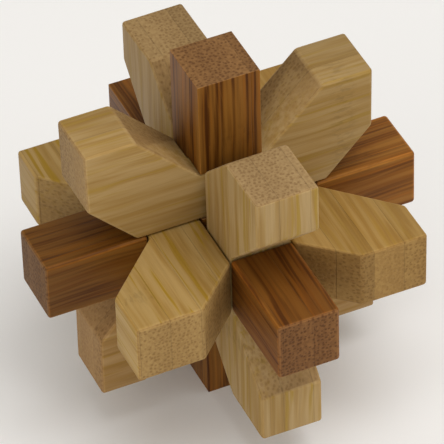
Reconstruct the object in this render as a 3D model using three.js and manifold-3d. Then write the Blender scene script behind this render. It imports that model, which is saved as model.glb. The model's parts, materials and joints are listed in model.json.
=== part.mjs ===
// A ten-piece wooden burr puzzle: three square bars cross at the centre, and a bow-shaped piece
// straddles each of their six ends. Millimetres, +Z up, standing on the lower end of the upright bar.
import * as THREE from "three";
import { mergeVertices } from "three/addons/utils/BufferGeometryUtils.js";
import Module from "manifold-3d";

// Driving dimensions.
const WIDTH = 15; // side of every bar, and the thickness of every bow
const HALF = WIDTH / 2;
const BAR_REACH = 45.5; // centre of the puzzle to the end of a bar
const GAP = 0.2; // play between two mating faces
const FRONT_PLAY = 2; // how far the front bow and the key cap stand off when the key is pushed on by hand
const BOW_LONG = 35; // half length of a bow along its grain
const BOW_OUT = 35.5; // centre of the puzzle to a bow's outer faces
const TIP_WIDE = 12.3; // width of an arm's outer face, along the grain
const TIP_TALL = 16; // height of an arm's end face, across the grain
const NOTCH_FLOOR = 20.5; // floor of the notch that a bar's end stands on
const TENON_HALF = 3.6; // half side of the square tenon
const MORTISE_HALF = 3.8; // half side of the square holes that it slides through
const TENON_IN_CAP = 12; // how far the tenon goes into the key cap
const SOCKET_SPARE = 2.5; // room past the tenon's tip, more than the front play
const LEDGE = 4; // from the puzzle's centre down to the notch that the cross bar's web fills
const PAST = 2; // how far a cutter runs past what it cuts

const INNER = HALF + GAP; // inner face of a bow
const SHOULDER = NOTCH_FLOOR + GAP; // where a bar's full end starts
const LAP = GAP / 2; // each lapped face stands this far off the middle plane
const TENON_TIP = -(SHOULDER + FRONT_PLAY + TENON_IN_CAP);

const wasm = await Module();
wasm.setup();

function solidFrom(geometry) {
  geometry.deleteAttribute("normal");
  geometry.deleteAttribute("uv");
  const merged = mergeVertices(geometry, 1e-5);
  return new wasm.Manifold(
    new wasm.Mesh({
      numProp: 3,
      vertProperties: new Float32Array(merged.attributes.position.array),
      triVerts: new Uint32Array(merged.index.array),
    }),
  );
}

function box(x, y, z) {
  const geometry = new THREE.BoxGeometry(x[1] - x[0], y[1] - y[0], z[1] - z[0]);
  geometry.translate((x[0] + x[1]) / 2, (y[0] + y[1]) / 2, (z[0] + z[1]) / 2);
  return solidFrom(geometry);
}

function join(first, ...rest) {
  return rest.reduce((sum, solid) => sum.add(solid), first);
}

function cut(first, ...rest) {
  return rest.reduce((left, solid) => left.subtract(solid), first);
}

function meshOf(solid) {
  const data = solid.getMesh();
  const geometry = new THREE.BufferGeometry();
  geometry.setAttribute("position", new THREE.BufferAttribute(data.vertProperties, 3));
  geometry.setIndex(new THREE.BufferAttribute(data.triVerts, 1));
  return geometry;
}

const full = [-HALF, HALF];
const mortise = [-MORTISE_HALF, MORTISE_HALF];
const tenon = [-TENON_HALF, TENON_HALF];
const lapNear = [-HALF, -LAP];
const lapFar = [LAP, HALF];

// Upright bar: two full ends, a slab at each lap and a middle block with the square hole through it.
function uprightBar() {
  const above = [SHOULDER, BAR_REACH];
  const below = [-BAR_REACH, -SHOULDER];
  const body = join(
    box(full, full, above),
    box(full, full, below),
    box(full, lapFar, [-SHOULDER - PAST, SHOULDER + PAST]),
    box(full, full, full),
  );
  return cut(
    body,
    box([-HALF - PAST, HALF + PAST], [-HALF - PAST, LAP], [-HALF - PAST, -LEDGE]),
    box(mortise, [-HALF - PAST, HALF + PAST], mortise),
  );
}

// Cross bar: two full ends, a slab at each lap and a low web that passes through the upright bar.
function crossBar() {
  const low = [-HALF, -LAP];
  return join(
    box([SHOULDER, BAR_REACH], full, full),
    box([-BAR_REACH, -SHOULDER], full, full),
    box([INNER, SHOULDER + PAST], full, low),
    box([-SHOULDER - PAST, -INNER], full, low),
    box([-HALF - PAST, HALF + PAST], lapNear, [-HALF, -LEDGE - GAP]),
  );
}

// Tenon bar: one full end, a slab at its lap and a square tenon that runs forwards from it.
function tenonBar() {
  return join(
    box(full, [SHOULDER, BAR_REACH], full),
    box(lapFar, [INNER, SHOULDER + PAST], full),
    box(tenon, [TENON_TIP, HALF], tenon),
    box([LAP, TENON_HALF], [HALF - PAST, INNER + PAST], tenon),
  );
}

// Key cap: the loose end of the tenon bar, with a blind square socket for the tenon.
function keyCap() {
  const inner = -SHOULDER - FRONT_PLAY;
  return cut(
    box(full, [-BAR_REACH - FRONT_PLAY, inner], full),
    box(mortise, [TENON_TIP - SOCKET_SPARE, inner + PAST], mortise),
  );
}

// Bow outline: x runs along the grain, y outwards from the puzzle's centre, and every slope is 45 degrees.
function bowOutline() {
  const tipLow = BOW_OUT - TIP_TALL;
  const right = [
    [BOW_LONG - (tipLow - INNER), INNER],
    [BOW_LONG, tipLow],
    [BOW_LONG, BOW_OUT],
    [BOW_LONG - TIP_WIDE, BOW_OUT],
    [BOW_LONG - TIP_WIDE - (BOW_OUT - NOTCH_FLOOR), NOTCH_FLOOR],
  ];
  const left = right.map(([along, out]) => [-along, out]).reverse();
  return new THREE.Shape([...right, ...left].map(([x, y]) => new THREE.Vector2(x, y)));
}

// A bow lies flat: grain along x, outwards along y, thickness along z.
function bowBlank() {
  const geometry = new THREE.ExtrudeGeometry(bowOutline(), { depth: WIDTH, bevelEnabled: false });
  geometry.translate(0, 0, -HALF);
  return solidFrom(geometry);
}

// A lapped bow keeps its bridge on the positive side of z and takes the bar's slab on the other.
function lappedBow() {
  const slot = [-INNER, INNER];
  return cut(bowBlank(), box(slot, [HALF - PAST, NOTCH_FLOOR + PAST], [-HALF - PAST, LAP]));
}

// The front bow has a square hole instead of a lap, because the tenon holds it.
function boredBow() {
  return cut(bowBlank(), box(mortise, [HALF - PAST, NOTCH_FLOOR + PAST], mortise));
}

const lightBamboo = { color: 0xc9a870, roughness: 0.6, metalness: 0 };
const darkBamboo = { color: 0x7c4a22, roughness: 0.5, metalness: 0 };

const puzzle = new THREE.Group();
const centre = new THREE.Group();
centre.position.z = BAR_REACH;
puzzle.add(centre);

// axes holds the directions of the piece's own x, y and z, and forward moves it towards the front.
function place(name, solid, looks, axes, forward = 0) {
  const mesh = new THREE.Mesh(meshOf(solid), new THREE.MeshStandardMaterial(looks));
  mesh.name = name;
  if (axes) {
    const [grain, out, thick] = axes.map((axis) => new THREE.Vector3(...axis));
    mesh.setRotationFromMatrix(new THREE.Matrix4().makeBasis(grain, out, thick));
  }
  mesh.position.y = -forward;
  centre.add(mesh);
}

place("upright_bar", uprightBar(), darkBamboo);
place("cross_bar", crossBar(), darkBamboo);
place("tenon_bar", tenonBar(), darkBamboo);
place("key_cap", keyCap(), darkBamboo);

// Each lapped bow: the directions of its grain, of its outward side and of its bridge.
const lapped = lappedBow();
const lappedPlaces = [
  ["top_bow", [1, 0, 0], [0, 0, 1], [0, -1, 0]],
  ["bottom_bow", [-1, 0, 0], [0, 0, -1], [0, -1, 0]],
  ["left_bow", [0, 1, 0], [-1, 0, 0], [0, 0, 1]],
  ["right_bow", [0, -1, 0], [1, 0, 0], [0, 0, 1]],
  ["back_bow", [0, 0, 1], [0, 1, 0], [-1, 0, 0]],
];
for (const [name, ...axes] of lappedPlaces) {
  place(name, lapped, lightBamboo, axes);
}
const frontPlace = [[0, 0, 1], [0, -1, 0], [1, 0, 0]];
place("front_bow", boredBow(), lightBamboo, frontPlace, FRONT_PLAY);

export default puzzle;
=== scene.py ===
import json
import math
import random
import bmesh
import bpy
from mathutils import Matrix, Vector


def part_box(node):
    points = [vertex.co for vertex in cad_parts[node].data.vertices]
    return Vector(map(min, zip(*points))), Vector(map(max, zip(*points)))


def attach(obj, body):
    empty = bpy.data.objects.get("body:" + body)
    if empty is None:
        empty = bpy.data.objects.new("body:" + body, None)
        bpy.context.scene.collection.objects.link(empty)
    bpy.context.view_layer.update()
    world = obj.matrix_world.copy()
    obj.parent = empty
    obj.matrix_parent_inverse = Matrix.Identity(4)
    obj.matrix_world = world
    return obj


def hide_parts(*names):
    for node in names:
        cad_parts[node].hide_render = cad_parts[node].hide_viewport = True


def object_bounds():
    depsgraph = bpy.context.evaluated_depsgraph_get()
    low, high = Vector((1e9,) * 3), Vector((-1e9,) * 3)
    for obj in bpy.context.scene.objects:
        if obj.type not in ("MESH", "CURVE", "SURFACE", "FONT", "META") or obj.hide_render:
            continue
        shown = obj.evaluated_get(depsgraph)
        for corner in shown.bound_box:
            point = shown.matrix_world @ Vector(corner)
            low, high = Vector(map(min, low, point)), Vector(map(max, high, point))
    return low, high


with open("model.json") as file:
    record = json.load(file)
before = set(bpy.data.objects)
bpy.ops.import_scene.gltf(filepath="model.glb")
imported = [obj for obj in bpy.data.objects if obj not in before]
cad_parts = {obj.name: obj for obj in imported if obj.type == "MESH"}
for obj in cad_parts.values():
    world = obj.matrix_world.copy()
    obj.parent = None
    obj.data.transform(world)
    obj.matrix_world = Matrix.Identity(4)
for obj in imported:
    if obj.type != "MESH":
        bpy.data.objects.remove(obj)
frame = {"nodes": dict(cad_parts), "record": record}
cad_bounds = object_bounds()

MM = 0.001

# Camera: a long lens, looking down at the puzzle from its front left.
AZIMUTH = math.radians(-23.2)
ELEVATION = math.radians(41.3)
ROLL = math.radians(-1.9)
DISTANCE = 1020 * MM
LENS = 366.0
SENSOR_WIDTH = 36.0
FAR_CLIP = 20.0
AIM_RIGHT = 0.5 * MM
AIM_DOWN = 1.45 * MM

# Light: each area light's name, place from the puzzle's centre, side, power and colour.
AREA_LIGHTS = (
    ("key", (0.15, -0.25, 1.0), 0.7, 5.0, (1.0, 0.975, 0.94)),
    ("left_fill", (-0.95, -0.5, 0.3), 1.0, 3.1, (1.0, 0.95, 0.88)),
    ("right_fill", (0.8, -0.75, 0.3), 1.0, 2.8, (1.0, 0.95, 0.88)),
)
WORLD_COLOUR = (1.0, 0.955, 0.88, 1.0)
WORLD_STRENGTH = 0.57

FLOOR_COLOUR = (0.9, 0.915, 0.94, 1.0)
FLOOR_ROUGHNESS = 0.9
FLOOR_REACH = 3.0

# Edges: broken by hand sanding, each to its own share of the full width.
WELD = 0.01 * MM
FLAT = math.radians(0.5)
SHARP = math.radians(20)
EDGE_WIDTH = 0.95 * MM
EDGE_WEIGHTS = (0.6, 1.0)
EDGE_SEGMENTS = 4

# Ends: the arms were cut by hand, so some are a little short and none is quite square.
SHORT_BY = {
    ("left_bow", 1): 2.0 * MM,
    ("bottom_bow", -1): 1.4 * MM,
    ("back_bow", 1): 1.2 * MM,
    ("right_bow", -1): 0.9 * MM,
}
OUT_OF_SQUARE = 0.018  # greatest slope of an arm's end face

GRAIN_AXIS = {
    "upright_bar": "Z",
    "cross_bar": "X",
    "tenon_bar": "Y",
    "key_cap": "Y",
    "top_bow": "X",
    "bottom_bow": "X",
    "left_bow": "Y",
    "right_bow": "Y",
    "front_bow": "Z",
    "back_bow": "Z",
}
DARK_PIECES = ("upright_bar", "cross_bar", "tenon_bar", "key_cap")

# Each piece has its own length of board, except the key cap, which continues the tenon bar.
BOARD = {
    "upright_bar": 1,
    "cross_bar": 2,
    "tenon_bar": 3,
    "key_cap": 3,
    "top_bow": 4,
    "bottom_bow": 5,
    "left_bow": 6,
    "right_bow": 7,
    "front_bow": 8,
    "back_bow": 9,
}
# The colour of each piece beside its look's: no two boards are alike.
BOARD_COLOUR = {
    "upright_bar": (1.0, 1.02, 0.95),
    "cross_bar": (1.12, 1.14, 1.12),
    "tenon_bar": (1.0, 1.0, 1.0),
    "key_cap": (0.9, 0.83, 0.72),
    "top_bow": (0.92, 0.9, 0.88),
    "bottom_bow": (0.92, 0.83, 0.78),
    "left_bow": (0.96, 0.92, 0.78),
    "right_bow": (0.93, 0.84, 0.62),
    "front_bow": (1.0, 1.0, 1.06),
    "back_bow": (0.93, 0.92, 0.92),
}
# How strong the yellow streaks are, where they aren't as usual.
BOARD_STREAKS = {"left_bow": 1.0, "front_bow": 0.75, "right_bow": 0.35}
USUAL_STREAKS = 0.55
# How strongly the fibre bundles show as lines along the board, where they don't show in full.
BOARD_LINES = {"cross_bar": 0.62, "key_cap": 0.72, "tenon_bar": 0.72}
# How much lighter a board gets from its middle to its + end, where it doesn't keep one brightness.
BOARD_FADE = {"cross_bar": 0.3, "left_bow": -0.14, "top_bow": -0.08}

# streak is a bundle seen from the side, the edge value is how bright a rounded edge is beside a
# face, partly from wear and partly as a painted highlight, and least_dots is what is left of the
# dots on the palest layers.
LIGHT_LOOK = {
    "slot": "light_bamboo",
    "ground": (0.335, 0.21, 0.066),
    "pale": (0.405, 0.28, 0.12),
    "tint": (0.325, 0.202, 0.024),
    "streak": (0.235, 0.13, 0.032),
    "end_ground": (0.375, 0.25, 0.108),
    "end_dot": (0.2, 0.112, 0.04),
    "streak_strength": 0.27,
    "dot_strength": 0.6,
    "least_dots": 0.35,
    "edge_wear_and_highlight": 1.12,
}
DARK_LOOK = {
    "slot": "dark_bamboo",
    "ground": (0.165, 0.058, 0.0065),
    "pale": (0.215, 0.09, 0.015),
    "tint": (0.245, 0.082, 0.007),
    "streak": (0.048, 0.013, 0.0015),
    "end_ground": (0.25, 0.125, 0.047),
    "end_dot": (0.085, 0.032, 0.01),
    "streak_strength": 0.92,
    "dot_strength": 0.64,
    "least_dots": 1.0,
    "edge_wear_and_highlight": 1.45,
}
SAWN_SLOPE_AND_SHADE_COLOUR = (0.86, 0.81, 0.76)  # a sawn slope beside a sanded end: darker partly for its rough sawn end grain and partly as painted shade of the slopes in recesses

# The pattern's lengths are in millimetres. Each board lies this much further on in the pattern:
# across the layers, along them and along the grain.
BOARD_STEP = (31.7, 17.3, 53.9)
HALF_LENGTH = 45.0  # about half a bar, over which a board's fade grows to its full value

# Where two numbers are a smooth step, the first is where it starts and the second where it ends.
# Two more, where there are any, are the values that it goes between.
LAYER = 7.4
SEAM = (0.018, 0.004)  # distance from a layer's edge, as a share of the layer
DENSE = (0.95, 0.15)  # depth in the layer, from few bundles to many
FLIPPED_SHARE = 0.5
FLIP_SEED = 0.37
TONE_SEED = 11.1
JOINT_SEED = 5.3
JOINT_SPACING = 150.0
JOINT_REACH = (4.5, 0.5)

# Radii and distances from the rim are shares of the bundles' spacing.
BUNDLE_SPACING = 0.98
BUNDLE_SCATTER = 0.72
BUNDLE_SHARE = 0.6  # of the bundles, shown where they are fewest
BUNDLE_SHOWS = (0.0, 0.25)
BUNDLE_RADIUS = 0.22
BUNDLE_RADIUS_RANGE = 0.15
DOT_RIM = (0.12, -0.16)
LINE_RIM = (0.26, -0.06)

# A stretch is how fast a noise changes across the layers, along them and along the grain.
NOISE_MIDDLE = 0.5
FIBRE_STRETCH = (3.4, 3.4, 0.09)
FIBRE_DETAIL = 3.0
BROAD_STRETCH = (0.55, 0.55, 0.03)
TINT_STRETCH = (0.8, 0.8, 0.025)
MOTTLE_STRETCH = (1.5, 1.1, 0.45)
WANDER = 3.2
WANDER_ACROSS_STRETCH = (0.05, 0.05, 0.022)
WANDER_ALONG_STRETCH = (0.05, 0.05, 0.019)
WANDER_ALONG_SCALE = 1.3

TINT_SHOWS = (0.53, 0.68)
PALE_SHOWS = (0.34, 0.66)
LINE_SHOWS = (0.6, 0.36, 0.35, 1.0)
JOINT_SHOWS = (0.46, 0.62)
MOTTLE_SHOWS = (0.32, 0.68)
# Where a rounded edge shows wear and a painted highlight.
EDGE_WEAR_AND_HIGHLIGHT_SHOWS = (0.3, 0.6, 0.4, 1.0)
PALE_LAYER = (0.55, 0.85)

# Brightness.
DENSE_DARKENING = 0.2
MOTTLE_DARKENING = 0.38
SEAM_DARKENING = 0.16
JOINT_DARKENING = 0.16
LEAST_FIBRE = 0.86
FIBRE_ADDS = 0.22
LEAST_TONE = 0.92
TONE_ADDS = 0.16

# Surface.
FIBRE_HEIGHT = 0.35
SEAM_DEPTH = 0.7
PIT_DEPTH = 0.12
END_PIT_DEPTH = 0.6
BUMP_STRENGTH = 0.8
BUMP_DISTANCE = 0.09 * MM
ROUGHNESS = 0.5
END_ROUGHNESS = 0.16
FIBRE_ROUGHNESS = 0.22
SPECULAR = 0.14

# Which way a face points. The slopes were sawn at 45 degrees, across the fibres.
END_FACING = (0.25, 0.85)
LARGEST_PART_ON_SLOPE = math.sqrt(0.5)
NEAR_SLOPE = (0.07, 0.015)
OFF_AXIS = (0.995, 0.95)


class Nodes:
    """Short calls that add shader nodes and link them."""

    def __init__(self, tree):
        self.tree = tree

    def add(self, kind, **settings):
        node = self.tree.nodes.new(kind)
        for name, value in settings.items():
            setattr(node, name, value)
        return node

    def plug(self, socket, value):
        if isinstance(value, bpy.types.NodeSocket):
            self.tree.links.new(value, socket)
        else:
            socket.default_value = value

    def math(self, operation, *values):
        node = self.add("ShaderNodeMath", operation=operation)
        for socket, value in zip(node.inputs, values):
            self.plug(socket, value)
        return node.outputs[0]

    def plus(self, first, second):
        return self.math("ADD", first, second)

    def minus(self, first, second):
        return self.math("SUBTRACT", first, second)

    def times(self, first, second):
        return self.math("MULTIPLY", first, second)

    def between(self, value, low, high, to_low=0.0, to_high=1.0):
        """A smooth step of value from low to high."""
        node = self.add("ShaderNodeMapRange", interpolation_type="SMOOTHSTEP")
        for socket, number in zip(node.inputs, (value, low, high, to_low, to_high)):
            self.plug(socket, number)
        return node.outputs[0]

    def combine(self, x, y, z):
        node = self.add("ShaderNodeCombineXYZ")
        for socket, value in zip(node.inputs, (x, y, z)):
            self.plug(socket, value)
        return node.outputs[0]

    def split(self, vector):
        node = self.add("ShaderNodeSeparateXYZ")
        self.plug(node.inputs[0], vector)
        return node.outputs

    def stretch(self, place, factors):
        return self.combine(*(self.times(part, factor) for part, factor in zip(place, factors)))

    def noise(self, vector, scale=1.0, detail=2.0):
        node = self.add("ShaderNodeTexNoise")
        self.plug(node.inputs["Vector"], vector)
        self.plug(node.inputs["Scale"], scale)
        self.plug(node.inputs["Detail"], detail)
        return node.outputs[0]

    def random(self, value):
        node = self.add("ShaderNodeTexWhiteNoise", noise_dimensions="1D")
        self.plug(node.inputs["W"], value)
        return node.outputs[0]

    def mix(self, factor, first, second, blend="MIX"):
        node = self.add("ShaderNodeMix", data_type="RGBA", blend_type=blend)
        self.plug(node.inputs[0], factor)
        self.plug(node.inputs[6], self.rgba(first))
        self.plug(node.inputs[7], self.rgba(second))
        return node.outputs[2]

    def dimmed(self, shade, share, darkening):
        """The shade, darkened where the share is 1."""
        return self.times(shade, self.minus(1.0, self.times(share, darkening)))

    @staticmethod
    def rgba(colour):
        return (*colour, 1.0) if isinstance(colour, tuple) else colour


def grain_coordinates(n, grain, board):
    """Millimetres across the layers, along them and along the grain, on the piece's own board."""
    place = n.split(n.add("ShaderNodeTexCoord").outputs["Object"])
    others = [axis for axis in "XYZ" if axis != grain]
    return tuple(
        n.plus(n.times(place[axis], 1 / MM), step * board)
        for axis, step in zip((*others, grain), BOARD_STEP)
    )


def add_facing(n, pattern, grain):
    """Which faces are end grain, slopes or rounded edges, each as a share from 0 to 1."""
    direction = n.split(n.add("ShaderNodeTexCoord").outputs["Normal"])
    sizes = {axis: n.math("ABSOLUTE", direction[axis]) for axis in "XYZ"}
    largest = n.math("MAXIMUM", n.math("MAXIMUM", sizes["X"], sizes["Y"]), sizes["Z"])
    from_slope = n.math("ABSOLUTE", n.minus(largest, LARGEST_PART_ON_SLOPE))
    pattern["end"] = n.between(sizes[grain], *END_FACING)
    pattern["slope"] = n.between(from_slope, *NEAR_SLOPE)
    pattern["edge"] = n.times(n.between(largest, *OFF_AXIS), n.minus(1.0, pattern["slope"]))


def add_layers(n, pattern, board):
    """Layers of strip, each with its own tone and with its skin side up or down."""
    layer = n.math("DIVIDE", pattern["across"], LAYER)
    number = n.math("FLOOR", layer)
    part = n.math("FRACT", layer)
    mirrored = n.minus(1.0, part)
    draw = n.random(n.plus(number, FLIP_SEED + board))
    flip = n.math("GREATER_THAN", draw, FLIPPED_SHARE)
    depth = n.plus(n.times(flip, mirrored), n.times(n.minus(1.0, flip), part))
    pattern["number"] = number
    pattern["dense"] = n.between(depth, *DENSE)
    pattern["seam"] = n.between(n.math("MINIMUM", part, mirrored), *SEAM)
    pattern["tone"] = n.random(n.plus(number, TONE_SEED * board))


def add_bundles(n, pattern):
    """Fibre bundles: cells across the grain, seen as dots on an end and as lines on a side."""
    cells = n.add("ShaderNodeTexVoronoi", voronoi_dimensions="2D", feature="F1")
    n.plug(cells.inputs["Vector"], n.combine(pattern["bent_across"], pattern["bent_along"], 0.0))
    n.plug(cells.inputs["Scale"], 1 / BUNDLE_SPACING)
    n.plug(cells.inputs["Randomness"], BUNDLE_SCATTER)
    draws = n.add("ShaderNodeSeparateColor")
    n.plug(draws.inputs[0], cells.outputs["Color"])
    above_chance = n.minus(n.plus(pattern["dense"], BUNDLE_SHARE), draws.outputs[0])
    shown = n.between(above_chance, *BUNDLE_SHOWS)
    radius = n.plus(BUNDLE_RADIUS, n.times(draws.outputs[1], BUNDLE_RADIUS_RANGE))
    from_rim = n.minus(cells.outputs["Distance"], radius)
    pattern["dot"] = n.times(n.between(from_rim, *DOT_RIM), shown)
    pattern["line"] = n.times(n.between(from_rim, *LINE_RIM), shown)


def add_joints(n, pattern, board):
    """A mottled patch across each strip, where its stalk was jointed."""
    joint_at = n.times(n.random(n.plus(pattern["number"], JOINT_SEED * board)), JOINT_SPACING)
    turn = n.math("MODULO", n.plus(pattern["length"], joint_at), JOINT_SPACING)
    from_joint = n.math("ABSOLUTE", n.minus(turn, JOINT_SPACING / 2))
    near = n.between(from_joint, *JOINT_REACH)
    pattern["joint"] = n.times(near, n.between(pattern["mottle"], *JOINT_SHOWS))


def wander(n, place, stretch, scale=1.0):
    """How far the bundles stray sideways, which changes slowly along the grain."""
    noise = n.noise(n.stretch(place, stretch), scale)
    return n.times(n.minus(noise, NOISE_MIDDLE), WANDER)


def bamboo_pattern(n, node_name):
    """The shares and noises that the colour, relief and roughness of laminated bamboo come from."""
    board = BOARD[node_name]
    grain = GRAIN_AXIS[node_name]
    across, along, length = grain_coordinates(n, grain, board)
    bent_across = n.plus(across, wander(n, (across, along, length), WANDER_ACROSS_STRETCH))
    bent_along = n.plus(
        along, wander(n, (along, across, length), WANDER_ALONG_STRETCH, WANDER_ALONG_SCALE)
    )
    bent = (bent_across, bent_along, length)
    turned = (bent_along, bent_across, length)
    pattern = {
        "across": across,
        "length": length,
        "bent_across": bent_across,
        "bent_along": bent_along,
        "fibre": n.noise(n.stretch(bent, FIBRE_STRETCH), detail=FIBRE_DETAIL),
        "broad": n.noise(n.stretch(bent, BROAD_STRETCH)),
        "tint": n.between(n.noise(n.stretch(turned, TINT_STRETCH)), *TINT_SHOWS),
        "mottle": n.noise(n.stretch((across, along, length), MOTTLE_STRETCH)),
    }
    add_facing(n, pattern, grain)
    add_layers(n, pattern, board)
    add_bundles(n, pattern)
    add_joints(n, pattern, board)
    return pattern


def side_colour(n, pattern, node_name, look):
    """Along the grain: a slow change of ground, yellow streaks, and the bundles as lines."""
    colour = n.mix(n.between(pattern["broad"], *PALE_SHOWS), look["ground"], look["pale"])
    streaks = BOARD_STREAKS.get(node_name, USUAL_STREAKS)
    colour = n.mix(n.times(pattern["tint"], streaks), colour, look["tint"])
    lines = look["streak_strength"] * BOARD_LINES.get(node_name, 1.0)
    drawn = n.times(pattern["line"], n.between(pattern["broad"], *LINE_SHOWS))
    return n.mix(n.times(drawn, lines), colour, look["streak"])


def end_colour(n, pattern, look):
    """Across the grain: the bundles as dots, denser towards the skin side, on a mottled ground."""
    dark = look["end_dot"]
    colour = n.mix(n.times(pattern["dense"], DENSE_DARKENING), look["end_ground"], dark)
    mottled = n.between(pattern["mottle"], *MOTTLE_SHOWS)
    colour = n.mix(n.times(mottled, MOTTLE_DARKENING), colour, dark)
    dots = n.times(pattern["dot"], n.between(pattern["tone"], *PALE_LAYER, 1.0, look["least_dots"]))
    colour = n.mix(n.times(dots, look["dot_strength"]), colour, dark)
    # Sawn end-grain slopes are darkened, partly for their rougher grain and partly as painted shade
    # where they lie in recesses.
    sawn_and_shaded_slope = n.mix(1.0, colour, SAWN_SLOPE_AND_SHADE_COLOUR, blend="MULTIPLY")
    return n.mix(pattern["slope"], colour, sawn_and_shaded_slope)


def board_colour(n, pattern, node_name, look):
    """What the piece's colour is multiplied by: its board's own colour, fade, tone and edge wear
    plus painted highlight.
    """
    shade = n.plus(LEAST_FIBRE, n.times(pattern["fibre"], FIBRE_ADDS))
    shade = n.times(shade, n.plus(LEAST_TONE, n.times(pattern["tone"], TONE_ADDS)))
    shade = n.dimmed(shade, pattern["seam"], SEAM_DARKENING)
    shade = n.dimmed(shade, pattern["joint"], JOINT_DARKENING)
    # Rounded edges are lightened, partly as wear and partly as a painted highlight.
    edge_wear_and_highlight = n.times(pattern["edge"], n.between(pattern["mottle"], *EDGE_WEAR_AND_HIGHLIGHT_SHOWS))
    shade = n.times(shade, n.plus(1.0, n.times(edge_wear_and_highlight, look["edge_wear_and_highlight"] - 1.0)))
    from_middle = n.minus(pattern["length"], BOARD_STEP[2] * BOARD[node_name])
    fade = n.times(from_middle, BOARD_FADE.get(node_name, 0.0) / HALF_LENGTH)
    shade = n.times(shade, n.plus(1.0, fade))
    return n.combine(*(n.times(shade, part) for part in BOARD_COLOUR[node_name]))


def relief(n, pattern):
    """Fine fibre, sunk seams, and bundles that are sunk most on an end."""
    height = n.minus(n.times(pattern["fibre"], FIBRE_HEIGHT), n.times(pattern["seam"], SEAM_DEPTH))
    depth = n.plus(PIT_DEPTH, n.times(pattern["end"], END_PIT_DEPTH))
    bump = n.add("ShaderNodeBump")
    n.plug(bump.inputs["Strength"], BUMP_STRENGTH)
    n.plug(bump.inputs["Distance"], BUMP_DISTANCE)
    n.plug(bump.inputs["Height"], n.minus(height, n.times(pattern["dot"], depth)))
    return bump.outputs[0]


def bamboo(node_name, look):
    """Laminated bamboo: layers of strip, each with bundles that crowd towards its skin side."""
    material = bpy.data.materials.new(node_name + "_bamboo")
    material.use_nodes = True
    material.node_tree.nodes.clear()
    n = Nodes(material.node_tree)
    pattern = bamboo_pattern(n, node_name)
    side = side_colour(n, pattern, node_name, look)
    colour = n.mix(pattern["end"], side, end_colour(n, pattern, look))
    colour = n.mix(1.0, colour, board_colour(n, pattern, node_name, look), blend="MULTIPLY")
    roughness = n.plus(ROUGHNESS, n.times(pattern["end"], END_ROUGHNESS))
    fibre = n.minus(pattern["fibre"], NOISE_MIDDLE)
    roughness = n.plus(roughness, n.times(fibre, FIBRE_ROUGHNESS))
    shader = n.add("ShaderNodeBsdfPrincipled")
    n.plug(shader.inputs["Base Color"], colour)
    n.plug(shader.inputs["Roughness"], roughness)
    n.plug(shader.inputs["Specular IOR Level"], SPECULAR)
    n.plug(shader.inputs["Normal"], relief(n, pattern))
    n.plug(n.add("ShaderNodeOutputMaterial").inputs["Surface"], shader.outputs[0])
    return material


def flat_faced(mesh):
    """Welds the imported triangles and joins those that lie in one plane."""
    bm = bmesh.new()
    bm.from_mesh(mesh)
    bmesh.ops.remove_doubles(bm, verts=bm.verts, dist=WELD)
    bmesh.ops.dissolve_limit(bm, angle_limit=FLAT, verts=bm.verts, edges=bm.edges)
    return bm


def trim_ends(bm, node_name, draw):
    """Moves the ends of a bow's two arms inwards along the grain, each a little out of square."""
    grain = "XYZ".index(GRAIN_AXIS[node_name])
    others = [axis for axis in range(3) if axis != grain]
    for side in (-1, 1):
        reach = max(side * vertex.co[grain] for vertex in bm.verts)
        tip = [vertex for vertex in bm.verts if side * vertex.co[grain] > reach - WELD]
        slopes = [draw.uniform(-OUT_OF_SQUARE, OUT_OF_SQUARE) for _ in others]
        cuts = [
            sum(slope * vertex.co[axis] for slope, axis in zip(slopes, others)) for vertex in tip
        ]
        short_by = SHORT_BY.get((node_name, side), 0.0) - min(cuts)
        for vertex, cut in zip(tip, cuts):
            vertex.co[grain] -= side * (cut + short_by)


def soften_edges(bm, draw):
    """Marks every outer edge for the bevel, each with its own share of the full width."""
    weight = bm.edges.layers.float.new("bevel_weight_edge")
    for edge in bm.edges:
        if len(edge.link_faces) == 2 and edge.is_convex and edge.calc_face_angle() > SHARP:
            edge[weight] = draw.uniform(*EDGE_WEIGHTS)


def body_of_node(node_name):
    bodies = frame["record"]["behaviour"]["bodies"]
    return next(body for body, members in bodies.items() if node_name in members)


def finished_piece(node_name):
    """The sanded piece that stands for a CAD node."""
    node = frame["nodes"][node_name]
    draw = random.Random(BOARD[node_name])
    mesh = node.data.copy()
    mesh.name = node_name + "_sanded"
    bm = flat_faced(mesh)
    if node_name not in DARK_PIECES:
        trim_ends(bm, node_name, draw)
    soften_edges(bm, draw)
    for face in bm.faces:
        face.smooth = True
    bm.to_mesh(mesh)
    bm.free()
    piece = bpy.data.objects.new(node_name + "_sanded", mesh)
    bpy.context.scene.collection.objects.link(piece)
    bevel = piece.modifiers.new("broken_edges", "BEVEL")
    bevel.limit_method = "WEIGHT"
    bevel.width = EDGE_WIDTH
    bevel.segments = EDGE_SEGMENTS
    bevel.harden_normals = True
    look = DARK_LOOK if node_name in DARK_PIECES else LIGHT_LOOK
    mesh.materials.clear()
    mesh.materials.append(bamboo(node_name, look))
    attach(piece, body_of_node(node_name))
    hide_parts(node_name)


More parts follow.
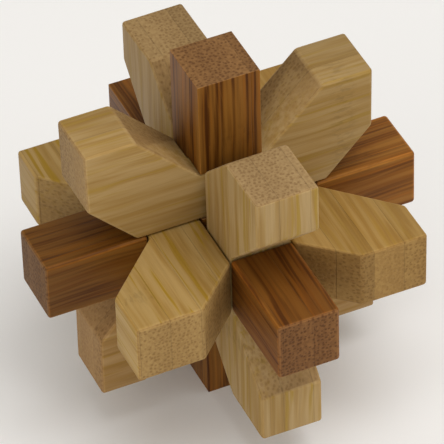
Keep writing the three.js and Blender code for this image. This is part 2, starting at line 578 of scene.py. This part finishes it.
def make_floor():
    lowest = cad_bounds[0][2]
    corners = [
        (x * FLOOR_REACH, y * FLOOR_REACH, lowest) for x, y in ((-1, -1), (1, -1), (1, 1), (-1, 1))
    ]
    mesh = bpy.data.meshes.new("floor")
    mesh.from_pydata(corners, [], [(0, 1, 2, 3)])
    floor = bpy.data.objects.new("floor", mesh)
    bpy.context.scene.collection.objects.link(floor)
    material = bpy.data.materials.new("floor_paint")
    material.use_nodes = True
    shader = material.node_tree.nodes["Principled BSDF"]
    shader.inputs["Base Color"].default_value = FLOOR_COLOUR
    shader.inputs["Roughness"].default_value = FLOOR_ROUGHNESS
    mesh.materials.append(material)


def puzzle_centre():
    low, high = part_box("upright_bar")
    return (low + high) / 2


def add_area_light(name, place, size, power, colour):
    """A square soft light that faces the puzzle."""
    lamp = bpy.data.lights.new(name, "AREA")
    lamp.size = size
    lamp.energy = power
    lamp.color = colour
    holder = bpy.data.objects.new(name, lamp)
    holder.location = puzzle_centre() + Vector(place)
    holder.rotation_euler = (-Vector(place)).to_track_quat("-Z", "Y").to_euler()
    bpy.context.scene.collection.objects.link(holder)


def make_light():
    world = bpy.data.worlds.new("studio")
    world.use_nodes = True
    background = world.node_tree.nodes["Background"]
    background.inputs["Color"].default_value = WORLD_COLOUR
    background.inputs["Strength"].default_value = WORLD_STRENGTH
    bpy.context.scene.world = world
    for light in AREA_LIGHTS:
        add_area_light(*light)


def make_camera():
    away = Vector((
        math.sin(AZIMUTH) * math.cos(ELEVATION),
        -math.cos(AZIMUTH) * math.cos(ELEVATION),
        math.sin(ELEVATION),
    ))
    right = Vector((math.cos(AZIMUTH), math.sin(AZIMUTH), 0.0))
    up = away.cross(right)
    rolled_right = right * math.cos(ROLL) + up * math.sin(ROLL)
    rolled_up = away.cross(rolled_right)
    data = bpy.data.cameras.new("camera")
    data.lens = LENS
    data.sensor_width = SENSOR_WIDTH
    data.clip_end = FAR_CLIP
    camera = bpy.data.objects.new("camera", data)
    aim = puzzle_centre() + rolled_right * AIM_RIGHT - rolled_up * AIM_DOWN
    turn = [list(row) for row in zip(rolled_right, rolled_up, away)]
    camera.rotation_euler = Matrix(turn).to_euler()
    camera.location = aim + away * DISTANCE
    bpy.context.scene.collection.objects.link(camera)
    bpy.context.scene.camera = camera


make_camera()
make_floor()
make_light()
for name in GRAIN_AXIS:
    finished_piece(name)
bpy.context.scene.view_settings.view_transform = "Standard"
